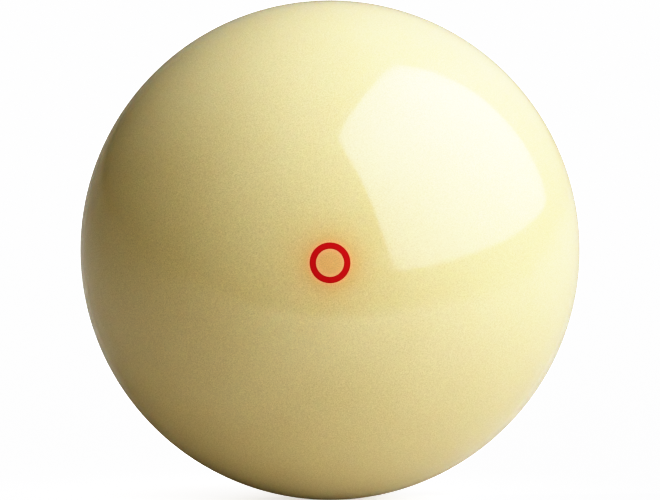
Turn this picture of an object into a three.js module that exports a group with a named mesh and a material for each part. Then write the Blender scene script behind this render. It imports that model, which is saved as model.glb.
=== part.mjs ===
// A pool cue ball: an ivory cast-resin ball with one thin red ring let into its face.
// Millimetres, +Z up. The origin is the ball's centre, and the ring faces -Y, on the Y axis.
// The ring is the end of a red tube and what shows inside it is the end of an ivory rod. Both stand
// in a flat-bottomed bore in the ball, and all the outer faces are ground to one sphere.
import * as THREE from "three";

// Driving dimensions.
const BALL_DIAMETER = 57.15; // the two and a quarter inch pool ball
const RING_DIAMETER = 4.5; // outside of the red tube, and the bore that it fills
const RING_WALL = 0.7;
const INLAY_DEPTH = 6; // from the ball's face to the bottom of the bore

// Facets. Every piece has the same steps around the Y axis, so their shared walls match exactly.
const STEPS_AROUND = 72;
const STEPS_TO_EQUATOR = 18; // over the ball's face, from a pole to its widest circle
const STEPS_OVER_RING = 2;
const STEPS_OVER_CORE = 3;

// Worked out from the driving dimensions.
const ballRadius = BALL_DIAMETER / 2;
const boreRadius = RING_DIAMETER / 2;
const coreRadius = boreRadius - RING_WALL;
const boreFloor = INLAY_DEPTH - ballRadius; // the y of the bore's flat bottom

const ivoryResin = new THREE.MeshStandardMaterial({ color: 0xe9dda8, roughness: 0.12, metalness: 0 });
const redResin = new THREE.MeshStandardMaterial({ color: 0xb80f14, roughness: 0.12, metalness: 0 });

// A point of a profile: its distance from the Y axis, and its y.
function at(radius, y) {
  return new THREE.Vector2(radius, y);
}

// The angle at the ball's centre, from the -Y pole to a point of the face at this distance from the axis.
function angleOf(radius) {
  return Math.asin(radius / ballRadius);
}

// Points over the ball's face between two such angles, both ends included.
function faceArc(fromAngle, toAngle, steps) {
  const points = [];
  for (let i = 0; i <= steps; i += 1) {
    const angle = fromAngle + ((toAngle - fromAngle) * i) / steps;
    points.push(at(ballRadius * Math.sin(angle), -ballRadius * Math.cos(angle)));
  }
  return points;
}

// The ball: from the middle of the bore's bottom, up its wall to the mouth, and round to the far pole.
function ballProfile() {
  const toEquator = faceArc(angleOf(boreRadius), Math.PI / 2, STEPS_TO_EQUATOR);
  const toFarPole = faceArc(Math.PI / 2, Math.PI, STEPS_TO_EQUATOR);
  return [
    at(0, boreFloor),
    at(boreRadius, boreFloor),
    ...toEquator,
    ...toFarPole.slice(1, -1),
    at(0, ballRadius),
  ];
}

// The red tube: its two walls, its flat inner end, and its outer end ground to the ball's face.
function ringProfile() {
  const groundEnd = faceArc(angleOf(coreRadius), angleOf(boreRadius), STEPS_OVER_RING);
  return [
    at(boreRadius, boreFloor),
    at(coreRadius, boreFloor),
    ...groundEnd,
    at(boreRadius, boreFloor),
  ];
}

// The ivory rod inside the tube.
function coreProfile() {
  const groundEnd = faceArc(0, angleOf(coreRadius), STEPS_OVER_CORE);
  return [...groundEnd, at(coreRadius, boreFloor), at(0, boreFloor)];
}

// One turned piece, spun around the Y axis from its profile.
function turned(name, profile, material) {
  const mesh = new THREE.Mesh(new THREE.LatheGeometry(profile, STEPS_AROUND), material);
  mesh.name = name;
  return mesh;
}

const cueBall = new THREE.Group();
cueBall.add(turned("ball_body", ballProfile(), ivoryResin));
cueBall.add(turned("red_ring", ringProfile(), redResin));
cueBall.add(turned("ring_core", coreProfile(), ivoryResin));

export default cueBall;
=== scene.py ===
import math

import bmesh
import bpy
from mathutils import Matrix, Vector


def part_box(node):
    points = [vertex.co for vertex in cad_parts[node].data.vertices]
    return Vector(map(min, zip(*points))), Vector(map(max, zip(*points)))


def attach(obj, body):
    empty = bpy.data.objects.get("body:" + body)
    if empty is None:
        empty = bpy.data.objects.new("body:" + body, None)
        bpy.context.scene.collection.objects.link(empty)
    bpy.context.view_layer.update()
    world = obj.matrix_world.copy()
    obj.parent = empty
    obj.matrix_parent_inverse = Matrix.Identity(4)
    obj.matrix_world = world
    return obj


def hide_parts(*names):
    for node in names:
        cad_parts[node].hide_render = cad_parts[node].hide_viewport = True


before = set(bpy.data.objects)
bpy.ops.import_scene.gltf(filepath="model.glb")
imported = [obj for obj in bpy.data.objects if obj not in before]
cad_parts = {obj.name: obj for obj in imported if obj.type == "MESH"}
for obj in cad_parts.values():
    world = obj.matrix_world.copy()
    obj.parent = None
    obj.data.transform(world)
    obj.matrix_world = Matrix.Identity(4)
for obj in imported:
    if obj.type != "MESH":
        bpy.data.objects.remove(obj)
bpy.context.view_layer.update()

MM = 0.001

# Sizes, from the frame.
BALL_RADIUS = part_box("ball_body")[1].z
RING_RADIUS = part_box("red_ring")[1].z
CORE_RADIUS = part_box("ring_core")[1].z
BORE_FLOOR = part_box("ring_core")[1].y
FLOOR = -BALL_RADIUS
RING_CENTRE = (0, -BALL_RADIUS, 0)

# How finely the pieces are made.
STEPS_AROUND = 240
STEPS_TO_EQUATOR = 60
STEPS_OVER_RING = 8
STEPS_OVER_CORE = 16
STEPS_DOWN_BORE = 6
JOINT_CHAMFER = 0.008 * MM  # breaks the edges where the ring meets the ivory, as a hairline
ON_AXIS = 0.001 * MM  # points nearer the axis than this are one point
SHARP_ANGLE = math.radians(20)

# The camera: nearly level with the ball, with a lens that makes the ball as tall as the picture.
CAMERA_ELEVATION = math.radians(2.85)
CAMERA_DISTANCE = 27 * BALL_RADIUS
CAMERA_SENSOR = 36  # its width in mm
PICTURE_WIDTH = 660
PICTURE_HEIGHT = 500
BALL_SHARE = 0.9998  # of the picture's height

# The key light is a soft panel up and to the right, bright in the middle and dim at its edges.
# Its vectors are in the camera's axes: right, up, and towards the camera.
PANEL_CENTRE = Vector((0.153, 0.230, 0.073))
PANEL_UP = Vector((-0.224, 0.959, 0.173))
PANEL_ACROSS = Vector((-0.342, -0.2445, 0.9075))
PANEL_HALF = 0.2286
PANEL_RADIANCE = 3.62
PANEL_FALLOFF = 0.28  # how much dimmer the middles of its sides are than its own middle
PANEL_SLANT = (0.07, 0.13, 0)  # how much brighter its near side and its top are than its middle
PANEL_SQUARENESS = 20  # the power of the superellipse that rounds its corners

# The table is a pale sheet that leans towards the camera. Only the ball sees it. Its ends are in
# metres, to the right and towards the camera. Its tones change along a direction in the row frame.
# Its tones are painted light and shade: brighter to the right, and in the polish also towards the
# front.
TABLE_TILT = math.radians(18)
TABLE_ROLL = math.radians(1.5)
TABLE_FRONT = 0.175
TABLE_BACK = -0.32
TABLE_LEFT = -0.65
TABLE_RIGHT = 0.43
# Painted shade: the light it bounces is darker at the left, away from the panel.
TABLE_LEFT_TONE = (0.46, 0.42, 0.375)  # the table's colour as it lights the ball, at the left
TABLE_RIGHT_TONE = (0.68, 0.62, 0.56)  # and at the right
TABLE_CHANGE = (4, 0, 0)  # the direction in which the one turns into the other, and how fast
# Painted light and shade in the polish: paler towards the right and the front.
TABLE_REFLECTED = (0.27, 0.74)  # how pale it shows in the ball's polish, at its darkest and palest
TABLE_PALER = (1.8, -1.8, 0)  # the direction in which it pales there, and how fast

# The studio's light comes from five sides. Each has an axis in the row frame, a sharpness, and two
# strengths: as it lights the ball, and as it shows in the ball's polish.
STUDIO_SIDES = (
    ((0, -1, 0), 2, (0.40, 0.0)),
    ((0, 0, 1), 2, (0.43, 0.69)),
    ((1, 0, 0), 2, (0.52, 0.0)),
    ((0.3, 0.91, 0.27), 8, (0.0, 0.46)),
    ((0, 1, 0), 10, (3.1, 0.0)),
)
STUDIO_WARMTH = (1.0, 0.89, 0.73)  # the colour of the light that reaches the ball from the studio

# The floor that the camera sees.
FLOOR_REACHES = 30  # from its middle to each side
FLOOR_TONE = 0.86
# The floor glows less under the ball, as a painted contact shadow.
FLOOR_LIFT = (0.4, 1.6)  # the light it gives off under the ball, and beyond FLOOR_REACH from there
FLOOR_REACH = 0.045

# The picture's tones: a curve with a soft toe and shoulder, as in a contrasty print.
CONTRAST = 0.9
SHOULDER = 0.985  # how white the screen shows light of 1.0; it shows BRIGHTEST as pure white
BRIGHTEST = 1.5
CURVE_STOPS = 10


def to_row(vector):
    """A direction or place in the camera's axes, in the row frame."""
    return Matrix.Rotation(math.pi / 2 - CAMERA_ELEVATION, 3, "X") @ vector


# Shapes


def face_arc(from_radius, to_radius, steps, far_side=False):
    """Points (distance from the Y axis, y) over the ball's face, both ends included."""
    start = math.asin(min(from_radius / BALL_RADIUS, 1))
    end = math.asin(min(to_radius / BALL_RADIUS, 1))
    side = 1 if far_side else -1
    angles = [start + (end - start) * i / steps for i in range(steps + 1)]
    return [(BALL_RADIUS * math.sin(a), side * BALL_RADIUS * math.cos(a)) for a in angles]


def wall(radius, steps=STEPS_DOWN_BORE):
    """Points up a bore wall, from its floor to just under the chamfer at the ball's face."""
    top = -math.sqrt(BALL_RADIUS**2 - radius**2) + JOINT_CHAMFER
    return [(radius, BORE_FLOOR + (top - BORE_FLOOR) * i / steps) for i in range(steps + 1)]


def turned(name, profile, closed=False):
    """A piece spun round the Y axis from its profile, a list of (distance from the axis, y)."""
    form = bmesh.new()
    turns = [2 * math.pi * i / STEPS_AROUND for i in range(STEPS_AROUND)]
    rows = []
    for radius, y in profile:
        if radius < ON_AXIS:
            rows.append([form.verts.new((0, y, 0))] * STEPS_AROUND)
        else:
            places = [(radius * math.cos(t), y, radius * math.sin(t)) for t in turns]
            rows.append([form.verts.new(place) for place in places])
    if closed:
        rows.append(rows[0])
    for row, following in zip(rows, rows[1:]):
        for i in range(STEPS_AROUND):
            corners = [row[i - 1], row[i], following[i], following[i - 1]]
            form.faces.new(dict.fromkeys(corners))
    bmesh.ops.recalc_face_normals(form, faces=form.faces)
    for face in form.faces:
        face.smooth = True
    for edge in form.edges:
        edge.smooth = edge.calc_face_angle() < SHARP_ANGLE
    mesh = bpy.data.meshes.new(name)
    form.to_mesh(mesh)
    form.free()
    piece = bpy.data.objects.new(name, mesh)
    bpy.context.scene.collection.objects.link(piece)
    return piece


def make_ball():
    """The ball with its bore: from the middle of the bore's floor round to the far pole."""
    near_half = face_arc(RING_RADIUS + JOINT_CHAMFER, BALL_RADIUS, STEPS_TO_EQUATOR)
    far_half = face_arc(BALL_RADIUS, 0, STEPS_TO_EQUATOR, far_side=True)
    profile = [(0, BORE_FLOOR)] + wall(RING_RADIUS) + near_half + far_half[1:]
    return turned("ball", profile)


def make_ring():
    """The red tube, its outer end flush with the ball's face."""
    end = face_arc(CORE_RADIUS + JOINT_CHAMFER, RING_RADIUS - JOINT_CHAMFER, STEPS_OVER_RING)
    profile = wall(CORE_RADIUS) + end + wall(RING_RADIUS)[::-1]
    return turned("ring", profile, closed=True)


def make_core():
    """The ivory rod inside the tube, its outer end flush with the ball's face."""
    end = face_arc(0, CORE_RADIUS - JOINT_CHAMFER, STEPS_OVER_CORE)
    profile = end + wall(CORE_RADIUS)[::-1] + [(0, BORE_FLOOR)]
    return turned("core", profile)


# Materials


def new_material(name):
    material = bpy.data.materials.new(name)
    material.use_nodes = True
    return material, material.node_tree, material.node_tree.nodes["Principled BSDF"]


def add(tree, kind, inputs, output=0, **settings):
    """Adds a node and gives its output. Each input's value is a constant, or an output to link."""
    made = tree.nodes.new("ShaderNode" + kind)
    for name, value in settings.items():
        setattr(made, name, value)
    for key, value in inputs.items():
        if isinstance(value, bpy.types.NodeSocket):
            tree.links.new(value, made.inputs[key])
        else:
            made.inputs[key].default_value = value
    return made.outputs[output]


def math_node(tree, operation, *values):
    return add(tree, "Math", dict(enumerate(values)), operation=operation)


def blend_colours(tree, factor, first, second, mode="MIX"):
    values = {"Factor": factor, 6: first, 7: second}
    return add(tree, "Mix", values, output=2, data_type="RGBA", blend_type=mode, clamp_result=True)


def tint(tree, colour, amount, multiplier):
    """The colour, multiplied by the multiplier where amount is 1, and held to 1 at most."""
    return blend_colours(tree, amount, colour, (*multiplier, 1), mode="MULTIPLY")


def dot(tree, vector, other):
    return add(tree, "VectorMath", {0: vector, 1: other}, output="Value", operation="DOT_PRODUCT")


def distance(tree, place, other):
    return add(tree, "VectorMath", {0: place, 1: other}, output="Value", operation="DISTANCE")


def spread(tree, value, low, high):
    """A texture's value from 0 to 1, spread from low to high."""
    return add(tree, "MapRange", {"Value": value, "To Min": low, "To Max": high})


IVORY = (0.725, 0.662, 0.381)
IVORY_CLOUD = (0.707, 0.640, 0.358)
CLOUD_SCALE = 70
CLOUD_RANGE = (0.35, 0.65)  # the noise's values that are all IVORY and all IVORY_CLOUD
GRAIN_SCALE = 9000
GRAIN_SHADE = (0.79, 1.21)
RED = (0.61, 0.015, 0.028)
RED_PALER = (0.67, 0.019, 0.032)
MOTTLE_SCALE = 3000
# Painted glow: red light scattered through the ivory from the ring, painted near it and in the
# core.
NEXT_TO_RED = (1.11, 0.755, 0.62)
INSIDE_RED = (1.22, 0.745, 0.62)
REACH_OUTSIDE = 1.4 * MM  # of the red that shows through the ivory
REACH_INSIDE = 40 * MM
# Painted highlight: a pale line painted along the joint, brighter than the ivory.
HAIRLINE = (1.45, 1.13, 1.27)  # the pale line where the ivory meets the ring
HAIRLINE_WIDTH = 0.2 * MM
DEEPER_RED = (0.72, 0.9, 0.5)  # at the ring's edges
POLISH_ROUGHNESS = (0.05, 0.12)
HAZE_SCALE = 160
PEEL_SCALE = 900
PEEL_HEIGHT = 0.0008 * MM
RESIN_IOR = 1.6
RESIN_DEPTH = 3 * MM  # how far red light goes into the ivory
RESIN_DEPTHS = (1.0, 0.55, 0.25)  # how far each of red, green and blue goes, as a share of that
RESIN_CLEARNESS = 0.6  # the share of the light that goes in


def noise(tree, place, scale, detail, roughness=0.5):
    values = {"Vector": place, "Scale": scale, "Detail": detail, "Roughness": roughness}
    return add(tree, "TexNoise", values)


def ivory_colour(tree, place):
    """Ivory resin: faint clouds as cast, and a fine mottle."""
    clouds = noise(tree, place, CLOUD_SCALE, 3)
    low, high = CLOUD_RANGE
    cloudy = add(tree, "MapRange", {"Value": clouds, "From Min": low, "From Max": high})
    colour = blend_colours(tree, cloudy, (*IVORY, 1), (*IVORY_CLOUD, 1))
    shade = spread(tree, noise(tree, place, GRAIN_SCALE, 0), *GRAIN_SHADE)
    return add(tree, "VectorMath", {0: colour, "Scale": shade}, operation="SCALE")


def polish(tree, place, shader):
    """The ground and polished face: nearly a mirror, with faint haze and a trace of orange peel."""
    roughness = spread(tree, noise(tree, place, HAZE_SCALE, 4, 0.6), *POLISH_ROUGHNESS)
    tree.links.new(roughness, shader.inputs["Roughness"])
    peel = noise(tree, place, PEEL_SCALE, 2)
    bump = add(tree, "Bump", {"Height": peel, "Distance": PEEL_HEIGHT, "Strength": 1.0})
    tree.links.new(bump, shader.inputs["Normal"])
    shader.inputs["IOR"].default_value = RESIN_IOR


def resin_depth(tree, shader, edge):
    """Light goes a little way into the resin, red light furthest. It doesn't at the ring's edge."""
    # Less light goes in at the ring's edge, which brightens the painted highlight there.
    tree.links.new(spread(tree, edge, RESIN_CLEARNESS, 0.0), shader.inputs["Subsurface Weight"])
    shader.inputs["Subsurface Radius"].default_value = RESIN_DEPTHS
    shader.inputs["Subsurface Scale"].default_value = RESIN_DEPTH


def fade_from(tree, place, radius, reach):
    """1 on the ring's circle of this radius, and less with distance from it, either way."""
    from_centre = distance(tree, place, RING_CENTRE)
    away = math_node(tree, "ABSOLUTE", math_node(tree, "SUBTRACT", from_centre, radius))
    return math_node(tree, "EXPONENT", math_node(tree, "DIVIDE", away, -reach))


def ivory_material(name, radius, red_glow, reach):
    """Ivory meeting the red at this radius, with a painted red glow there, less with distance."""
    material, tree, shader = new_material(name)
    place = add(tree, "TexCoord", {}, output="Object")
    colour = tint(tree, ivory_colour(tree, place), fade_from(tree, place, radius, reach), red_glow)
    edge = fade_from(tree, place, radius, HAIRLINE_WIDTH)
    # A painted highlight along the joint with the ring.
    colour = tint(tree, colour, edge, HAIRLINE)
    tree.links.new(colour, shader.inputs["Base Color"])
    polish(tree, place, shader)
    resin_depth(tree, shader, edge)
    return material


def red_material():
    material, tree, shader = new_material("red_resin")
    place = add(tree, "TexCoord", {}, output="Object")
    mottle = noise(tree, place, MOTTLE_SCALE, 2)
    colour = blend_colours(tree, mottle, (*RED, 1), (*RED_PALER, 1))
    for radius in (CORE_RADIUS, RING_RADIUS):
        colour = tint(tree, colour, fade_from(tree, place, radius, HAIRLINE_WIDTH), DEEPER_RED)
    tree.links.new(colour, shader.inputs["Base Color"])
    polish(tree, place, shader)
    return material


# The stage


def make_camera():
    data = bpy.data.cameras.new("camera")
    data.sensor_width = CAMERA_SENSOR
    outline_angle = math.asin(BALL_RADIUS / CAMERA_DISTANCE)
    outline_radius = BALL_SHARE * PICTURE_HEIGHT / 2
    data.lens = outline_radius / math.tan(outline_angle) * CAMERA_SENSOR / PICTURE_WIDTH
    data.clip_start = 0.01
    data.clip_end = 100
    camera = bpy.data.objects.new("camera", data)
    camera.location = to_row(Vector((0, 0, CAMERA_DISTANCE)))
    camera.rotation_euler = (math.pi / 2 - CAMERA_ELEVATION, 0, 0)
    bpy.context.scene.collection.objects.link(camera)
    bpy.context.scene.camera = camera


def flat_piece(name, corners, material):
    """A four-sided piece of the stage, from its corners in the row frame."""
    mesh = bpy.data.meshes.new(name)
    mesh.from_pydata(corners, [], [(0, 1, 2, 3)])
    mesh.materials.append(material)
    piece = bpy.data.objects.new(name, mesh)
    bpy.context.scene.collection.objects.link(piece)
    return piece


def panel_material():
    """Light from the front only, falling off from the panel's middle."""
    material, tree, shader = new_material("panel")
    tree.nodes.remove(shader)
    place = add(tree, "TexCoord", {}, output="Object")
    reach = add(tree, "VectorMath", {0: place}, output="Value", operation="LENGTH")
    loss = math_node(tree, "MULTIPLY", math_node(tree, "MULTIPLY", reach, reach), PANEL_FALLOFF)
    slant = dot(tree, place, PANEL_SLANT)
    bright = math_node(tree, "ADD", math_node(tree, "SUBTRACT", 1.0, loss), slant)
    across = math_node(tree, "POWER", dot(tree, place, (1, 0, 0)), PANEL_SQUARENESS)
    up = math_node(tree, "POWER", dot(tree, place, (0, 1, 0)), PANEL_SQUARENESS)
    inside = math_node(tree, "LESS_THAN", math_node(tree, "ADD", across, up), 1.0)
    lit = math_node(tree, "MULTIPLY", bright, inside)
    facing = math_node(tree, "SUBTRACT", 1.0, add(tree, "NewGeometry", {}, output="Backfacing"))
    shown = math_node(tree, "MULTIPLY", lit, facing)
    strength = math_node(tree, "MULTIPLY", shown, PANEL_RADIANCE)
    glow = add(tree, "Emission", {"Color": (1, 1, 1, 1), "Strength": strength})
    tree.links.new(glow, tree.nodes["Material Output"].inputs["Surface"])
    return material


def make_panel():
    """The key light. Its object's own axes run from -1 to 1 over the panel."""
    panel = flat_piece("panel", [(-1, -1, 0), (1, -1, 0), (1, 1, 0), (-1, 1, 0)], panel_material())
    up = to_row(PANEL_UP)
    across = to_row(PANEL_ACROSS)
    axes = Matrix((across * PANEL_HALF, up * PANEL_HALF, across.cross(up))).transposed()
    panel.matrix_world = Matrix.Translation(to_row(PANEL_CENTRE)) @ axes.to_4x4()
    panel.visible_camera = False
    panel.visible_shadow = False


def by_ray(tree, lighting, reflected):
    """One value for the light that falls on the ball, and another for reflections in its polish."""
    path = add(tree, "LightPath", {}, output="Is Glossy Ray")
    return spread(tree, path, lighting, reflected)


def make_table():
    """The sheet under the ball, for its reflection and its bounced light."""
    material, tree, shader = new_material("table")
    place = add(tree, "TexCoord", {}, output="Object")
    # Painted light and shade on the sheet, one set for its reflection and one for the light it
    # bounces.
    along = math_node(tree, "ADD", dot(tree, place, TABLE_PALER), 0.5)
    reflected = spread(tree, along, *TABLE_REFLECTED)
    glossy_ray = add(tree, "LightPath", {}, output="Is Glossy Ray")
    across = math_node(tree, "ADD", dot(tree, place, TABLE_CHANGE), 0.5)
    lighting = blend_colours(tree, across, (*TABLE_LEFT_TONE, 1), (*TABLE_RIGHT_TONE, 1))
    colour = blend_colours(tree, glossy_ray, lighting, reflected)
    tree.links.new(colour, shader.inputs["Base Color"])
    shader.inputs["Roughness"].default_value = 1.0
    shader.inputs["Specular IOR Level"].default_value = 0.0
    lean = Matrix.Rotation(TABLE_TILT, 3, "X") @ Matrix.Rotation(-TABLE_ROLL, 3, "Z")
    ends = (
        (TABLE_LEFT, TABLE_FRONT),
        (TABLE_RIGHT, TABLE_FRONT),
        (TABLE_RIGHT, TABLE_BACK),
        (TABLE_LEFT, TABLE_BACK),
    )
    corners = [to_row(lean @ Vector((right, -BALL_RADIUS, front))) for right, front in ends]
    table = flat_piece("table", corners, material)
    table.visible_camera = False
    table.visible_shadow = False


def lobe(tree, direction, axis, sharpness, strengths):
    """Light that comes mostly from one side: a power of the cosine of the angle from the axis."""
    axis = Vector(axis).normalized()
    ahead = math_node(tree, "MAXIMUM", dot(tree, direction, axis), 0.0)
    spot = math_node(tree, "POWER", ahead, sharpness)
    return math_node(tree, "MULTIPLY", spot, by_ray(tree, *strengths))


def make_world():
    """The studio's light on the ball. The camera sees plain white."""
    world = bpy.data.worlds.new("studio")
    world.use_nodes = True
    tree = world.node_tree
    tree.nodes.clear()
    direction = add(tree, "TexCoord", {}, output="Generated")
    lights = [lobe(tree, direction, *side) for side in STUDIO_SIDES]
    strength = lights[0]
    for light in lights[1:]:
        strength = math_node(tree, "ADD", strength, light)
    glossy_ray = add(tree, "LightPath", {}, output="Is Glossy Ray")
    colour = blend_colours(tree, glossy_ray, (*STUDIO_WARMTH, 1), (1, 1, 1, 1))
    studio = add(tree, "Background", {"Color": colour, "Strength": strength})
    seen = add(tree, "Background", {"Color": (1, 1, 1, 1), "Strength": BRIGHTEST})
    camera_ray = add(tree, "LightPath", {}, output="Is Camera Ray")
    shown = add(tree, "MixShader", {0: camera_ray, 1: studio, 2: seen})
    output = tree.nodes.new("ShaderNodeOutputWorld")
    tree.links.new(shown, output.inputs["Surface"])
    bpy.context.scene.world = world


def make_floor():
    """A pale floor, lifted towards white: the ball shades it, and painted shade lies under it."""
    material, tree, shader = new_material("floor")
    shader.inputs["Base Color"].default_value = (FLOOR_TONE, FLOOR_TONE, FLOOR_TONE, 1)
    shader.inputs["Roughness"].default_value = 0.8
    shader.inputs["Emission Color"].default_value = (1, 1, 1, 1)
    place = add(tree, "TexCoord", {}, output="Object")
    away = distance(tree, place, (0, 0, FLOOR))
    # Dimmer near the ball: a painted contact shadow.
    lift = spread(tree, math_node(tree, "DIVIDE", away, FLOOR_REACH), *FLOOR_LIFT)
    tree.links.new(lift, shader.inputs["Emission Strength"])
    ends = ((-1, -1), (1, -1), (1, 1), (-1, 1))
    corners = [(x * FLOOR_REACHES, y * FLOOR_REACHES, FLOOR) for x, y in ends]
    floor = flat_piece("floor", corners, material)
    floor.visible_diffuse = False
    floor.visible_glossy = False
    floor.visible_transmission = False
    floor.visible_shadow = False


def set_tones():
    """The tone curve, worked out on the screen's own scale and given on that of the light."""
    view = bpy.context.scene.view_settings
    view.view_transform = "Standard"
    view.use_curve_mapping = True
    view.curve_mapping.clip_max_x = BRIGHTEST
    curve = view.curve_mapping.curves[3]
    curve.points[-1].location = (BRIGHTEST, 1.0)
    for i in range(1, CURVE_STOPS + 1):
        shown = i / CURVE_STOPS
        curved = (1 - CONTRAST) * shown + CONTRAST * (3 * shown**2 - 2 * shown**3)
        curve.points.new(to_light(shown), to_light(curved * SHOULDER))
    view.curve_mapping.update()


def to_light(shown):
    """The light that the screen shows as this value, from 0 to 1."""
    return shown / 12.92 if shown <= 0.04045 else ((shown + 0.055) / 1.055) ** 2.4


def place_piece(piece, node, material):
    piece.data.materials.append(material)
    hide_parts(node)
    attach(piece, "root")


make_camera()
ball_resin = ivory_material("ivory_resin", RING_RADIUS, NEXT_TO_RED, REACH_OUTSIDE)
place_piece(make_ball(), "ball_body", ball_resin)
place_piece(make_ring(), "red_ring", red_material())
core_resin = ivory_material("ivory_core_resin", CORE_RADIUS, INSIDE_RED, REACH_INSIDE)
place_piece(make_core(), "ring_core", core_resin)
make_panel()
make_table()
make_world()
make_floor()
set_tones()
